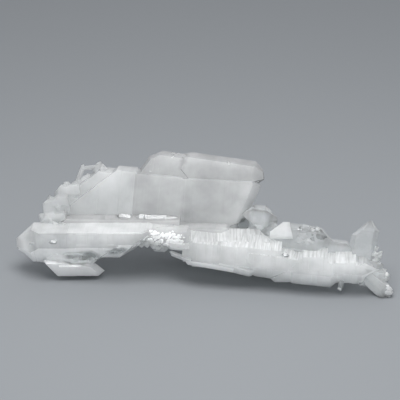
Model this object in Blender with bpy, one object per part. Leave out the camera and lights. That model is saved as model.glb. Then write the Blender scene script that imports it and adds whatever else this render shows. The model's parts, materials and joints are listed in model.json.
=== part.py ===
"""Faden quartz cluster: a flat row of intergrown quartz crystals, lying on a table.

All the crystals have grown into each other, so the specimen is one solid.
Sizes are in millimetres in the specimen's own frame: x runs along the row,
s runs up the plate that the row forms, and t stands out of the plate's front.
"""

import math
import random

import bmesh
import bpy
from mathutils import Matrix, Vector

MM = 0.001

# How the specimen lies on the table
PLATE_LEAN = 30.0        # degrees that the plate leans back from upright
ROW_YAW = 6.0            # degrees that the right end is turned forward
ROW_HEIGHT = 8.3         # height of the row's middle line above the table
ROW_SHIFT = (-0.68, -3.36)  # moves the row so that its box stands centred on the origin

# Quartz: angle from the long axis to the end faces' normals, as a slope
END_ANGLE = 51.8
END_SLOPE = 1.0 / math.tan(math.radians(END_ANGLE))
SIDE_STEP = 60.0         # degrees between neighbouring side faces
CUT_EPSILON = 1e-7
SHORTEST_EDGE = 0.02     # millimetres, on one crystal
SHORTEST_JOINT = 2e-6    # metres, where crystals meet

# Small crystals: half length and side faces over radius, and how unevenly the ends grow
CRUST_SLIMNESS = (1.5, 2.4)
CRUST_UNEVENNESS = (0.85, 1.12)
CRUST_END_SPREAD = 0.4

crystals = []


def specimen_frame():
    """Matrix from the specimen's x, s, t in millimetres to the table in metres."""
    yaw = math.radians(ROW_YAW)
    lean = math.radians(PLATE_LEAN)
    along = Vector((math.cos(yaw), -math.sin(yaw), 0.0))
    forward = Vector((-math.sin(yaw), -math.cos(yaw), 0.0))
    upward = Vector((0.0, 0.0, 1.0))
    up_plate = -math.sin(lean) * forward + math.cos(lean) * upward
    out_of_plate = math.cos(lean) * forward + math.sin(lean) * upward
    turn = Matrix((along, up_plate, out_of_plate)).transposed()
    place = Matrix.Translation(Vector((ROW_SHIFT[0], ROW_SHIFT[1], ROW_HEIGHT)))
    return Matrix.Scale(MM, 4) @ place @ turn.to_4x4()


SPECIMEN = specimen_frame()
TABLE = SPECIMEN.inverted()
TABLE_POINT = TABLE @ Vector((0.0, 0.0, 0.0))
TABLE_DOWN = (TABLE.to_3x3() @ Vector((0.0, 0.0, -1.0))).normalized()
FLAT_ON_TABLE = (TABLE_POINT, TABLE_DOWN)


def cut(body, point, normal):
    """Slices off what lies beyond a plane and closes the cut with one flat face."""
    geometry = body.verts[:] + body.edges[:] + body.faces[:]
    result = bmesh.ops.bisect_plane(
        body, geom=geometry, dist=CUT_EPSILON, plane_co=point, plane_no=normal, clear_outer=True
    )
    rim = [item for item in result["geom_cut"] if isinstance(item, bmesh.types.BMEdge)]
    if rim:
        bmesh.ops.contextual_create(body, geom=rim)


def crystal(start, end, sides, roll=0.0, tail=None, tip=None, cuts=()):
    """One quartz crystal, kept for the union.

    start and end are the ends of its long axis. sides holds the distances of its six
    side faces from the axis, beginning with the face towards t and turning towards s.
    tail and tip hold how far each of the six end faces is set in from start and end;
    without them that end is cut straight across. cuts are extra planes (point, normal).
    """
    start = Vector(start)
    end = Vector(end)
    axis = (end - start).normalized()
    front = Vector((0.0, 0.0, 1.0))
    if abs(axis.z) > 0.9:
        front = Vector((0.0, 1.0, 0.0))
    front = (front - front.dot(axis) * axis).normalized()
    upward = front.cross(axis)

    body = bmesh.new()
    bmesh.ops.create_cube(body, size=1.0)
    size = (end - start).length + 4.0 * max(sides)
    middle = (start + end) / 2.0
    bmesh.ops.transform(body, matrix=Matrix.Translation(middle) @ Matrix.Scale(size, 4), verts=body.verts)

    for number, distance in enumerate(sides):
        angle = math.radians(SIDE_STEP * number + roll)
        side = math.cos(angle) * front + math.sin(angle) * upward
        cut(body, start + distance * side, side)
        if tip:
            cut(body, end - tip[number] * axis, END_SLOPE * axis + side)
        if tail:
            cut(body, start + tail[number] * axis, side - END_SLOPE * axis)
    if not tip:
        cut(body, end, axis)
    if not tail:
        cut(body, start, -axis)
    for point, normal in cuts:
        cut(body, Vector(point), Vector(normal))

    bmesh.ops.dissolve_degenerate(body, dist=SHORTEST_EDGE, edges=body.edges[:])
    bmesh.ops.recalc_face_normals(body, faces=body.faces)
    mesh = bpy.data.meshes.new("crystal")
    body.to_mesh(mesh)
    body.free()
    mesh.transform(SPECIMEN)
    crystals.append(mesh)
    return mesh


def crust(middle, spread, count, width, direction, scatter, seed):
    """Small crystals crowded over a patch, all roughly in one direction.

    middle and spread give the patch, width the least and the most distance of the
    side faces, and scatter how far each crystal's axis strays from direction.
    """
    draw = random.Random(seed)
    for _ in range(count):
        place = Vector(middle) + Vector([draw.uniform(-half, half) for half in spread])
        stray = Vector([draw.uniform(-scatter, scatter) for _ in range(3)])
        axis = (Vector(direction) + stray).normalized()
        radius = draw.uniform(*width)
        half_length = radius * draw.uniform(*CRUST_SLIMNESS)
        sides = [radius * draw.uniform(*CRUST_UNEVENNESS) for _ in range(6)]
        tail = [radius * draw.uniform(0.0, CRUST_END_SPREAD) for _ in range(6)]
        tip = [radius * draw.uniform(0.0, CRUST_END_SPREAD) for _ in range(6)]
        crystal(place - half_length * axis, place + half_length * axis, sides,
                roll=draw.uniform(0.0, SIDE_STEP), tail=tail, tip=tip)


def left_prism():
    """The stout prism at the left, whose underside steps up towards the neck."""
    crystal((-40.8, -1.95, 0.0), (-17.2, -0.80, 0.0), (4.69, 3.90, 3.90, 4.69, 3.57, 3.57), roll=0.3,
            tail=(0.9, 0.0, 0.1, 1.2, 0.5, 0.4), tip=(-6.0, -6.0, -6.0, -4.0, 0.2, 0.0),
            cuts=[((-39.6, -2.2, 0.0), (-1.0, -0.1, 0.2))])
    crystal((-26.0, -1.20, 0.0), (-10.0, -0.45, 0.0), (4.60, 3.86, 3.85, 4.50, 2.20, 2.60), roll=-0.4,
            tip=(-4.0, -4.0, -4.0, 0.0, 3.0, 3.1))
    crystal((-22.0, -1.05, -0.1), (-5.3, -0.25, 0.1), (4.62, 3.93, 3.86, 4.40, 0.60, 0.55), roll=0.5,
            tip=(1.2, 0.0, 0.8, 0.5, 0.6, 0.9))
    crystal((-40.2, -2.70, -0.6), (-19.0, -3.50, -0.6), (3.70, 3.00, 3.00, 3.70, 2.90, 2.95), roll=-2.0,
            tail=(1.0, 0.6, 0.6, 1.0, 0.0, 0.0), tip=(0.0, 0.0, 0.0, 0.0, 0.6, 0.4),
            cuts=[((-36.0, -5.0, -0.6), (-0.42, -0.80, 0.42)), ((-36.0, -5.0, -0.6), (-0.42, -0.80, -0.42))])
    crystal((-33.4, -7.15, -1.55), (-20.1, -6.50, -2.70), (2.12, 1.30, 2.12, 2.12, 1.60, 1.80), roll=0.0,
            tail=(0.6, 1.2, 0.8, 0.5, 0.0, 0.2), tip=(0.3, 0.5, 0.6, 0.2, 0.0, 0.3), cuts=[FLAT_ON_TABLE])
    crystal((-31.5, -5.60, -0.2), (-24.0, -5.50, -0.4), (1.60, 1.50, 1.60, 1.60, 1.50, 1.30), roll=6.0,
            tail=(0.2, 0.4, 0.2, 0.2, 0.0, 0.0), tip=(0.2, 0.3, 0.4, 0.2, 0.0, 0.0))


def blade():
    """The tall flat crystals standing up the plate behind the row, and the ledges at their foot."""
    crystal((-27.2, 9.45, -4.4), (-10.9, 8.71, -4.4), (2.40, 6.20, 6.15, 2.45, 6.50, 6.50), roll=0.2,
            tail=(-1.5, 0.0, 0.4, -1.0, -2.0, -2.0), tip=(0.0, -5.0, -5.0, 0.0, -5.0, -5.0))
    crystal((-18.0, 8.95, -4.4), (-1.8, 8.20, -4.4), (2.22, 5.90, 5.90, 2.60, 6.40, 6.30), roll=-0.3,
            tip=(0.0, -4.0, -4.0, 0.0, 1.2, 1.4))
    crystal((-5.5, 8.70, -4.5), (14.5, 8.70, -4.5), (2.36, 5.50, 5.60, 2.50, 6.30, 6.20), roll=0.4,
            cuts=[((12.1, 13.1, -4.5), (0.71, -0.40, 0.55)), ((12.1, 13.1, -4.5), (0.71, -0.40, -0.58)),
                  ((12.1, 13.1, -4.5), (0.72, 0.52, 0.45)), ((12.1, 13.1, -4.5), (0.70, 0.51, -0.50))])
    crystal((-31.0, 9.30, -5.6), (-16.0, 8.60, -5.6), (2.30, 6.00, 5.95, 2.20, 5.50, 5.50), roll=-0.5,
            tail=(-1.0, 0.0, 0.2, -0.5, -1.5, -1.2))
    crystal((-32.0, 3.00, -1.6), (-3.0, 3.90, -1.6), (1.90, 1.50, 3.50, 3.00, 3.00, 2.50), roll=0.0,
            tail=(0.0, 1.0, 0.6, 0.0, 0.0, 0.0), tip=(0.0, 1.0, 0.0, 0.0, 0.0, 0.0))
    crystal((-9.0, 2.40, -1.5), (7.4, 2.95, -1.5), (2.30, 1.30, 3.60, 3.00, 3.00, 2.50), roll=0.4,
            tail=(0.0, 0.6, 0.0, 0.0, 0.0, 0.0), tip=(0.0, 0.4, 0.0, 0.0, 0.0, 0.0))
    crystal((-4.5, 4.55, -2.4), (5.6, 5.00, -2.4), (1.00, 0.80, 1.60, 1.50, 1.50, 1.20), roll=-3.0,
            tail=(0.2, 0.6, 0.0, 0.0, 0.3, 0.0), tip=(0.0, 0.5, 0.0, 0.3, 0.0, 0.2))


def crown():
    """The two frosted crystals behind the top of the blade."""
    crystal((-16.0, 17.06, -4.9), (-3.0, 15.70, -4.9), (2.50, 3.00, 3.05, 2.60, 4.20, 4.20), roll=0.5,
            cuts=[((-14.3, 15.9, -4.9), (-0.75, 0.50, 0.43)), ((-14.3, 15.9, -4.9), (-0.75, 0.50, -0.43)),
                  ((-12.6, 18.5, -4.9), (-0.38, 0.82, 0.43)), ((-12.6, 18.5, -4.9), (-0.38, 0.82, -0.43))])
    crystal((-6.5, 17.30, -4.9), (14.1, 14.85, -4.9), (2.45, 2.80, 2.85, 2.50, 3.00, 3.10), roll=-0.5,
            tail=(0.4, 0.6, 0.6, 0.4, 0.0, 0.0), tip=(0.6, 0.0, 0.1, 0.6, 2.4, 2.3),
            cuts=[((12.5, 16.0, -4.9), (1.0, 0.15, 0.1))])


def arm():
    """The row of prisms from the neck to the right end."""
    crystal((-16.0, 0.95, 0.1), (4.0, 0.15, 0.1), (3.05, 2.70, 2.95, 3.20, 2.55, 2.60), roll=1.0,
            tail=(0.0, 0.0, 0.0, 0.0, 1.7, 1.6), tip=(0.0, 0.0, 0.0, 0.0, 0.0, 0.0))
    crystal((-8.0, -1.20, 0.9), (4.5, -4.30, 0.9), (2.00, 1.40, 1.40, 1.90, 1.45, 1.50), roll=-3.0,
            tail=(0.0, 0.0, 0.0, 0.0, 0.4, 0.3), tip=(0.5, 0.0, 0.0, 0.5, 0.8, 0.6))
    crystal((-3.4, -0.80, 0.0), (21.5, -1.95, 0.0), (3.79, 3.15, 3.76, 3.80, 3.14, 3.75), roll=-10.0,
            tail=(0.3, 0.0, 0.5, 0.4, 2.4, 2.0), tip=(-1.2, 0.0, 4.5, 0.5, -3.0, -2.0))
    crystal((6.0, -2.00, 0.2), (24.5, -3.60, 0.2), (3.70, 2.60, 2.90, 3.60, 3.60, 3.45), roll=-4.0,
            tail=(0.2, 0.0, 0.5, 0.4, 2.0, 1.6), tip=(0.0, 1.5, 2.0, 0.5, -3.0, -2.0))
    crystal((14.9, -3.65, 0.3), (31.4, -4.45, 0.3), (3.70, 3.25, 3.25, 3.60, 3.25, 3.30), roll=0.6,
            tail=(0.0, 0.0, 0.0, 0.0, 1.0, 1.2), tip=(-1.5, 0.0, 0.5, 0.0, -1.0, -1.0))
    crystal((24.2, -3.35, 0.0), (38.6, -3.75, 0.0), (3.90, 2.79, 3.08, 3.70, 2.85, 3.10), roll=-5.0,
            tail=(-1.0, 0.0, 0.4, 0.0, 0.0, 0.0), tip=(-0.9, 0.0, 0.6, 0.3, 0.4, 0.0))
    crystal((16.6, -1.60, 3.6), (19.6, -1.75, 3.7), (0.70, 0.60, 0.60, 0.70, 0.60, 0.60), roll=9.0,
            tail=(0.1, 0.0, 0.2, 0.1, 0.2, 0.0), tip=(0.1, 0.2, 0.0, 0.1, 0.0, 0.2))


def right_shoulder():
    """Short crystals on top of the row, to the right of the blade."""
    crystal((7.7, 6.35, -3.0), (17.6, 5.80, -3.0), (2.30, 2.50, 2.45, 2.50, 2.60, 2.60), roll=2.0,
            tail=(0.4, 0.0, 0.1, 0.2, 0.3, 0.0), tip=(0.6, 0.0, 0.2, 0.3, -1.0, -1.0))
    crystal((10.6, 3.20, -2.4), (18.2, 3.00, -2.4), (2.40, 2.00, 2.10, 2.40, 2.60, 2.40), roll=-4.0,
            tail=(0.2, 0.0, 0.3, 0.0, 0.4, 0.2), tip=(0.0, 0.2, 0.0, 0.3, 0.0, 0.0))
    crystal((13.8, 2.70, -0.6), (28.8, 1.40, -0.6), (2.75, 2.55, 2.70, 2.80, 3.00, 3.00), roll=-3.0,
            tail=(-0.3, 0.0, 0.3, 0.2, 0.0, 0.0), tip=(0.3, 0.0, 0.4, 0.2, 0.0, 0.0))
    crystal((25.5, 0.10, -0.8), (33.8, -0.35, -0.8), (2.30, 1.90, 2.05, 2.30, 2.50, 2.50), roll=3.0,
            tip=(0.0, 0.4, 0.0, 0.0, 0.0, 0.0))
    crust((20.6, 1.30, 1.6), (2.0, 1.1, 0.3), 7, (0.50, 0.95), (1.0, -0.1, 0.2), 0.35, 41)


def right_end():
    """The bunch of small crystals that points all ways at the right end."""
    crystal((34.9, -4.00, -0.6), (36.1, 6.90, -0.6), (1.90, 3.20, 3.20, 1.90, 1.85, 1.80), roll=2.0,
            tip=(0.4, 0.0, 0.1, 0.4, 0.0, 0.2))
    crystal((33.0, -3.10, 0.6), (39.5, -3.15, 0.2), (1.30, 1.20, 1.15, 1.30, 1.20, 1.15), roll=8.0,
            tip=(0.3, 0.0, 0.2, 0.4, 0.1, 0.5))
    crystal((33.5, -2.00, -0.4), (38.6, -1.30, -0.4), (1.20, 1.10, 1.15, 1.20, 1.20, 1.15), roll=-8.0,
            tip=(0.3, 0.0, 0.2, 0.4, 0.1, 0.5))
    crystal((33.4, -2.80, -0.5), (40.7, -6.10, -0.6), (1.90, 1.55, 1.55, 1.90, 1.65, 1.70), roll=-8.0,
            tip=(0.4, 0.0, 0.3, 0.4, 0.1, 0.2))
    crystal((33.4, -3.20, 0.1), (41.9, -10.20, -0.3), (1.90, 1.70, 1.60, 1.80, 1.45, 1.50), roll=5.0,
            tip=(0.6, 0.3, 0.2, 0.6, 0.0, 0.2), cuts=[FLAT_ON_TABLE])
    crystal((30.4, -6.20, 0.4), (30.2, -8.70, 0.6), (0.70, 0.65, 0.70, 0.70, 0.65, 0.65), roll=10.0,
            tip=(0.1, 0.0, 0.2, 0.1, 0.0, 0.3))
    crystal((34.0, -5.80, -0.2), (35.9, -7.60, -0.3), (0.90, 0.85, 0.80, 0.90, 0.85, 0.85), roll=-10.0,
            tip=(0.1, 0.0, 0.2, 0.1, 0.0, 0.3))
    crust((37.6, -1.60, 0.2), (0.9, 2.0, 0.5), 9, (0.45, 0.75), (1.0, 0.3, 0.1), 0.55, 11)


def left_druse():
    """Small crystals crowded along the left edge of the plate."""
    crystal((-30.5, 3.50, -2.6), (-33.9, 9.10, -3.2), (1.60, 1.70, 1.50, 1.60, 1.60, 1.70), roll=12.0,
            tip=(0.2, 0.0, 0.4, 0.2, 0.1, 0.3))
    crystal((-31.5, 2.20, -1.6), (-35.7, 4.70, -1.8), (1.50, 1.45, 1.50, 1.60, 1.50, 1.55), roll=-9.0,
            tip=(0.3, 0.2, 0.0, 0.2, 0.1, 0.0))
    crystal((-33.6, 6.60, -3.6), (-20.0, 6.20, -3.9), (1.40, 2.30, 2.40, 2.00, 2.60, 2.50), roll=-4.0,
            tail=(0.0, 0.2, 0.0, 0.3, 0.0, 0.1))
    crystal((-33.2, 9.60, -4.2), (-27.8, 9.80, -4.2), (1.20, 1.75, 1.80, 1.30, 2.20, 2.20), roll=3.0,
            tail=(0.6, 0.2, 0.4, 0.5, 0.0, 0.1), tip=(0.0, 0.0, 0.2, 0.0, 0.1, 0.0))
    crystal((-28.9, 9.50, -4.8), (-26.7, 16.30, -5.0), (0.80, 0.75, 0.70, 0.80, 0.70, 0.75), roll=4.0,
            tip=(0.2, 0.0, 0.1, 0.2, 0.3, 0.2))
    crystal((-27.8, 15.10, -4.9), (-23.0, 15.90, -4.8), (0.80, 0.60, 0.65, 0.85, 0.60, 0.65), roll=-6.0,
            tail=(0.1, 0.0, 0.2, 0.1, 0.3, 0.2), tip=(0.2, 0.0, 0.1, 0.2, 0.3, 0.2))
    crystal((-24.5, 15.20, -4.6), (-20.2, 15.30, -4.6), (1.50, 1.40, 1.45, 1.50, 1.60, 1.60), roll=7.0,
            tail=(0.4, 0.3, 0.2, 0.3, 0.0, 0.0), tip=(0.2, 0.3, 0.4, 0.2, 0.0, 0.0))
    crystal((-24.0, 14.40, -4.4), (-22.9, 17.10, -4.6), (0.75, 0.70, 0.75, 0.80, 0.70, 0.75), roll=14.0,
            tip=(0.2, 0.0, 0.1, 0.2, 0.1, 0.2))
    crust((-31.3, 5.00, -1.5), (2.0, 2.4, 0.6), 14, (0.45, 0.95), (-0.5, 0.8, 0.5), 0.55, 3)
    crust((-30.8, 2.60, 0.6), (1.8, 0.7, 0.4), 7, (0.40, 0.70), (-0.7, 0.6, 0.6), 0.45, 5)
    crust((-29.4, 9.50, -3.3), (2.4, 1.7, 0.5), 8, (0.50, 0.95), (-0.7, 0.8, 0.3), 0.50, 8)


def neck_facets():
    """Small sparkling crystals over the front of the neck."""
    crust((-7.4, 0.80, 2.9), (3.3, 1.3, 0.25), 16, (0.55, 1.05), (1.0, -0.1, 0.1), 0.35, 21)
    crust((-12.5, -0.90, 3.2), (3.0, 0.6, 0.3), 7, (0.40, 0.75), (1.0, 0.1, 0.1), 0.30, 24)


def back_crystals():
    """Prisms on the back of the plate, the lowest of which is the third foot."""
    crystal((-5.5, 0.60, -10.4), (17.0, 0.60, -10.4), (3.20, 3.30, 3.40, 3.30, 3.80, 3.40), roll=0.0,
            tail=(0.4, 0.0, 0.3, 0.2, 0.4, 0.2), tip=(0.3, 0.5, 0.0, 0.2, 0.2, 0.4), cuts=[FLAT_ON_TABLE])
    crystal((-15.0, 4.60, -7.4), (13.5, 4.10, -7.2), (3.00, 3.30, 3.20, 2.90, 3.40, 3.20), roll=-2.0,
            tail=(0.2, 0.0, 0.3, 0.2, 0.4, 0.2), tip=(0.3, 0.5, 0.0, 0.2, 0.2, 0.4))
    crystal((-29.0, 4.40, -6.4), (-9.0, 3.90, -6.2), (2.40, 2.50, 2.60, 2.30, 2.60, 2.50), roll=3.0,
            tail=(0.2, 0.0, 0.3, 0.2, 0.4, 0.2), tip=(0.3, 0.5, 0.0, 0.2, 0.2, 0.4))
    crystal((-10.0, 9.80, -7.6), (3.5, 9.30, -7.4), (1.90, 2.00, 2.10, 1.60, 2.20, 2.00), roll=-3.0,
            tail=(0.2, 0.0, 0.3, 0.2, 0.4, 0.2), tip=(0.3, 0.5, 0.0, 0.2, 0.2, 0.4))
    crystal((8.5, -1.20, -4.2), (24.0, -2.20, -4.0), (2.60, 2.50, 2.40, 2.30, 2.50, 2.60), roll=5.0,
            tail=(0.2, 0.0, 0.3, 0.2, 0.4, 0.2), tip=(0.3, 0.5, 0.0, 0.2, 0.2, 0.4))
    crystal((20.5, -2.90, -3.4), (33.0, -3.60, -3.2), (2.00, 2.10, 2.00, 1.90, 2.10, 2.20), roll=-6.0,
            tail=(0.2, 0.0, 0.3, 0.2, 0.4, 0.2), tip=(0.3, 0.5, 0.0, 0.2, 0.2, 0.4))
    crust((-2.0, 3.60, -9.8), (7.0, 2.0, 0.7), 12, (0.60, 1.30), (1.0, 0.1, -0.2), 0.40, 31)
    crust((-20.0, 6.50, -7.6), (7.0, 2.4, 0.5), 12, (0.60, 1.20), (1.0, 0.2, -0.2), 0.40, 33)
    crust((6.0, 11.50, -6.9), (4.5, 1.6, 0.4), 8, (0.50, 1.10), (1.0, 0.1, -0.3), 0.40, 35)


def fill_pockets(body):
    """Deletes every closed shell but the largest, which fills pockets sealed between crystals."""
    unseen = set(body.verts)
    shells = []
    while unseen:
        shell = set()
        reached = [unseen.pop()]
        while reached:
            vertex = reached.pop()
            shell.add(vertex)
            for edge in vertex.link_edges:
                neighbour = edge.other_vert(vertex)
                if neighbour in unseen:
                    unseen.remove(neighbour)
                    reached.append(neighbour)
        shells.append(shell)
    outside = max(shells, key=len)
    inner = [vertex for vertex in body.verts if vertex not in outside]
    bmesh.ops.delete(body, geom=inner, context="VERTS")


def grow_together():
    """Joins all the crystals into one closed solid with an exact union."""
    first, *others = crystals
    cluster = bpy.data.objects.new("faden_quartz_cluster", first)
    bpy.context.scene.collection.objects.link(cluster)
    neighbours = bpy.data.collections.new("neighbours")
    bpy.context.scene.collection.children.link(neighbours)
    for mesh in others:
        neighbours.objects.link(bpy.data.objects.new("neighbour", mesh))
    union = cluster.modifiers.new("grown together", "BOOLEAN")
    union.operation = "UNION"
    union.solver = "EXACT"
    union.operand_type = "COLLECTION"
    union.collection = neighbours
    solid = bpy.data.meshes.new_from_object(
        cluster.evaluated_get(bpy.context.evaluated_depsgraph_get())
    )
    joined = bmesh.new()
    joined.from_mesh(solid)
    bmesh.ops.dissolve_degenerate(joined, dist=SHORTEST_JOINT, edges=joined.edges[:])
    fill_pockets(joined)
    joined.to_mesh(solid)
    joined.free()
    cluster.modifiers.clear()
    cluster.data = solid
    for other in list(neighbours.objects):
        bpy.data.objects.remove(other, do_unlink=True)
    bpy.data.collections.remove(neighbours)
    return cluster


def clear_quartz():
    """Colourless quartz with a faint grey cast."""
    material = bpy.data.materials.new("clear_quartz")
    material.use_nodes = True
    shader = material.node_tree.nodes["Principled BSDF"]
    shader.inputs["Base Color"].default_value = (0.62, 0.66, 0.67, 1.0)
    shader.inputs["Roughness"].default_value = 0.15
    shader.inputs["IOR"].default_value = 1.544
    shader.inputs["Transmission Weight"].default_value = 0.6
    return material


for leftover in list(bpy.data.objects):
    bpy.data.objects.remove(leftover, do_unlink=True)

left_prism()
blade()
crown()
arm()
right_shoulder()
right_end()
left_druse()
neck_facets()
back_crystals()
cluster = grow_together()
cluster.data.materials.clear()
cluster.data.materials.append(clear_quartz())
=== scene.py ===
"""Looks of a faden quartz cluster: a flat row of clear and milky quartz crystals lying on a pale table.

Sizes are in millimetres in the specimen's own frame: x runs along the row, s runs up the
plate that the row forms, and t stands out of the plate's front.
"""

import json
import math
import random

import bmesh
import bpy
import numpy as np
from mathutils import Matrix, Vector

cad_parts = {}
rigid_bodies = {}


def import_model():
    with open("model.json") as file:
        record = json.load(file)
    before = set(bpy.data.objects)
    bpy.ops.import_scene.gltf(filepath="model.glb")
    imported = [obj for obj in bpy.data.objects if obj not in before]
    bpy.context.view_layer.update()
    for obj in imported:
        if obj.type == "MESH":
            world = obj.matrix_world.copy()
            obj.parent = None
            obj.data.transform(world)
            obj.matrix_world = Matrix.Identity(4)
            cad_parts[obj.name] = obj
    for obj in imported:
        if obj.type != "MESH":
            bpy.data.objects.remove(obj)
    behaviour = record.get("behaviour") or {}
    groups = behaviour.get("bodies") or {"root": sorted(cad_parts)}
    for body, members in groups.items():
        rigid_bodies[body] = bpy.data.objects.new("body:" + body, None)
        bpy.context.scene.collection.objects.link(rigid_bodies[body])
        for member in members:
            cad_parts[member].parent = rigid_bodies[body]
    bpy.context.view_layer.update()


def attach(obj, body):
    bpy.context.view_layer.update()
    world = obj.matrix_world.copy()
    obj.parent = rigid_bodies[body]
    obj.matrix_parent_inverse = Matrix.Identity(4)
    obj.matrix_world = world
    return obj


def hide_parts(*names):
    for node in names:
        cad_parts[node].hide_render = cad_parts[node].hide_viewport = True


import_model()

# Left prism
# The stout quartz prism at the left end. It grew freely, so its long faces are crossed by low
# growth steps, and its underside climbs in steps towards the neck of the row.
MM = 0.001
PLATE_LEAN = math.radians(30.0)      # the plate leans back from upright
ROW_YAW = math.radians(6.0)          # its right end is turned forward
ROW_ORIGIN = np.array((-0.68, -3.36, 8.3))       # where x, s and t are 0, over the table
ALONG = np.array((math.cos(ROW_YAW), -math.sin(ROW_YAW), 0.0))
FORWARD = np.array((-math.sin(ROW_YAW), -math.cos(ROW_YAW), 0.0))
UPWARD = np.array((0.0, 0.0, 1.0))
UP_PLATE = -math.sin(PLATE_LEAN) * FORWARD + math.cos(PLATE_LEAN) * UPWARD
OUT_OF_PLATE = math.cos(PLATE_LEAN) * FORWARD + math.sin(PLATE_LEAN) * UPWARD
SPECIMEN = np.stack((ALONG, UP_PLATE, OUT_OF_PLATE))
END_SLOPE = 1.0 / math.tan(math.radians(51.8))   # how fast the end faces of quartz close in
SIXTH = math.radians(60.0)           # of a full turn, between one side face and the next
OPEN_END = 1000.0                    # an end face this far off never cuts
REACH = 12.0                         # how far past an axis end an end face may close the crystal
CLOSEST_RINGS = 0.004                # rings nearer to the one before are left out
SHORTEST_EDGE = 0.006                # edges shorter than this are closed up
SAME_STATION = 1e-7                  # stations nearer than this are one
CLOSED_UP = 1e-6                     # a width less than nothing by this is still a point
ON_CUT = 1e-9                        # in metres, how near a corner lies to be on a cut
ALONG_T = 0.9                        # an axis with more than this share along t runs along t

grown = []                           # the crystals' meshes, in the order in which they grew


def on_table(points):
    """Turns points from x, s, t in millimetres into metres on the table."""
    return (np.asarray(points) @ SPECIMEN + ROW_ORIGIN) * MM


def growth_steps(length, steps, draw):
    """Places along the axis and the depth of each of the six side faces there.

    steps is (count, relief). Each face is crossed by count steps at random places. Between two
    steps it lies at a random depth up to relief, and the riser between two depths has the
    slope of the end faces, so a taller step is also longer.
    """
    count, relief = steps
    edges = np.sort(draw.uniform(0.0, length, (6, count)), axis=1)
    levels = draw.uniform(0.0, relief, (6, count + 1))
    half_rise = np.abs(np.diff(levels, axis=1)) / END_SLOPE / 2.0
    places = np.stack((edges - half_rise, edges + half_rise), axis=2).reshape(6, -1)
    places = np.maximum.accumulate(places, axis=1)
    depths = np.repeat(levels, 2, axis=1)[:, 1:-1]
    return places, depths


def wall_distances(x, length, sides, tail, tip, places, depths):
    """Distances of the walls from the axis at stations x, as three arrays of six rows.

    The side faces lie at their distance less the growth steps' depth. The end faces close in
    by END_SLOPE for each millimetre towards the end they belong to.
    """
    if places.shape[1]:
        carved = np.stack([np.interp(x, row, depth) for row, depth in zip(places, depths)])
    else:
        carved = np.zeros((6, len(x)))
    side = np.asarray(sides)[:, None] - carved
    head = (length - tip[:, None] - x) * END_SLOPE
    foot = (x - tail[:, None]) * END_SLOPE
    return side, head, foot


def with_crossings(x, values):
    """Stations x, and those where a row of values passes through zero between two of them."""
    before = values[:, :-1]
    after = values[:, 1:]
    crosses = before * after < 0.0
    share = before / np.where(crosses, before - after, 1.0)
    added = (x[:-1] + share * np.diff(x))[crosses]
    x = np.sort(np.concatenate((x, added)))
    return x[np.concatenate(((True,), np.diff(x) > SAME_STATION))]


def beside(wall):
    """The sum of the distances of each wall's two neighbours."""
    return np.roll(wall, 1, axis=0) + np.roll(wall, -1, axis=0)


def openings(wall):
    """How wide open each ring is.

    Rows of the three sums of opposite walls' distances, and of the two sums of every other
    wall's distances. A ring has closed up where one of them passes zero.
    """
    widths = wall[:3] + wall[3:]
    triangles = np.stack((wall[::2].sum(axis=0), wall[1::2].sum(axis=0)))
    return np.concatenate((widths, triangles))


def hexagons(length, sides, tail, tip, steps, draw):
    """Rings of six corners, in the plane across the axis, at stations along it.

    Each side's distance is the least of its side face and its two end faces. A side that has
    closed up gets the sum of its neighbours' distances, which puts its two corners in one
    place. Corner i lies where the walls i and i + 1 meet, which are 60 degrees apart.
    """
    closed_tail = np.full(6, -OPEN_END) if tail is None else np.asarray(tail, float)
    closed_tip = np.full(6, -OPEN_END) if tip is None else np.asarray(tip, float)
    first = 0.0 if tail is None else -REACH
    last = length if tip is None else length + REACH
    places, depths = growth_steps(length, steps, draw)
    x = np.concatenate(((first, last), places.ravel()))
    x = np.unique(x[(x >= first) & (x <= last)])
    shape = (length, sides, closed_tail, closed_tip, places, depths)

    side, head, foot = wall_distances(x, *shape)
    x = with_crossings(x, np.concatenate((side - head, side - foot, head - foot)))
    wall = np.min(wall_distances(x, *shape), axis=0)
    x = with_crossings(x, np.concatenate((wall - beside(wall), openings(wall))))

    wall = np.min(wall_distances(x, *shape), axis=0)
    inside = openings(wall).min(axis=0) > -CLOSED_UP
    x = x[inside]
    wall = wall[:, inside]
    keep = np.concatenate(((True,), np.diff(x) > CLOSEST_RINGS))
    keep[-1] = True
    x = x[keep]
    wall = wall[:, keep]
    wall = np.minimum(wall, beside(wall))
    after = np.roll(wall, -1, axis=0)
    sideways = (after - wall * math.cos(SIXTH)) / math.sin(SIXTH)
    return x, wall, sideways


def trim(mesh, cuts):
    """Takes off what lies outside each cut, closes the cut, and closes up the shortest edges."""
    body = bmesh.new()
    body.from_mesh(mesh)
    for point, normal in cuts:
        bmesh.ops.remove_doubles(body, verts=body.verts[:], dist=SHORTEST_EDGE * MM)
        normal = Vector(np.asarray(normal, float) @ SPECIMEN)
        point = Vector(on_table(point))
        cut = bmesh.ops.bisect_plane(
            body, geom=body.verts[:] + body.edges[:] + body.faces[:], dist=ON_CUT,
            plane_co=point, plane_no=normal, clear_outer=True,
        )
        rim = [item for item in cut["geom_cut"] if isinstance(item, bmesh.types.BMEdge)]
        if rim:
            bmesh.ops.contextual_create(body, geom=rim)
    bmesh.ops.dissolve_degenerate(body, dist=SHORTEST_EDGE * MM, edges=body.edges[:])
    bmesh.ops.remove_doubles(body, verts=body.verts[:], dist=SHORTEST_EDGE * MM)
    bmesh.ops.recalc_face_normals(body, faces=body.faces[:])
    body.to_mesh(mesh)
    body.free()


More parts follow.
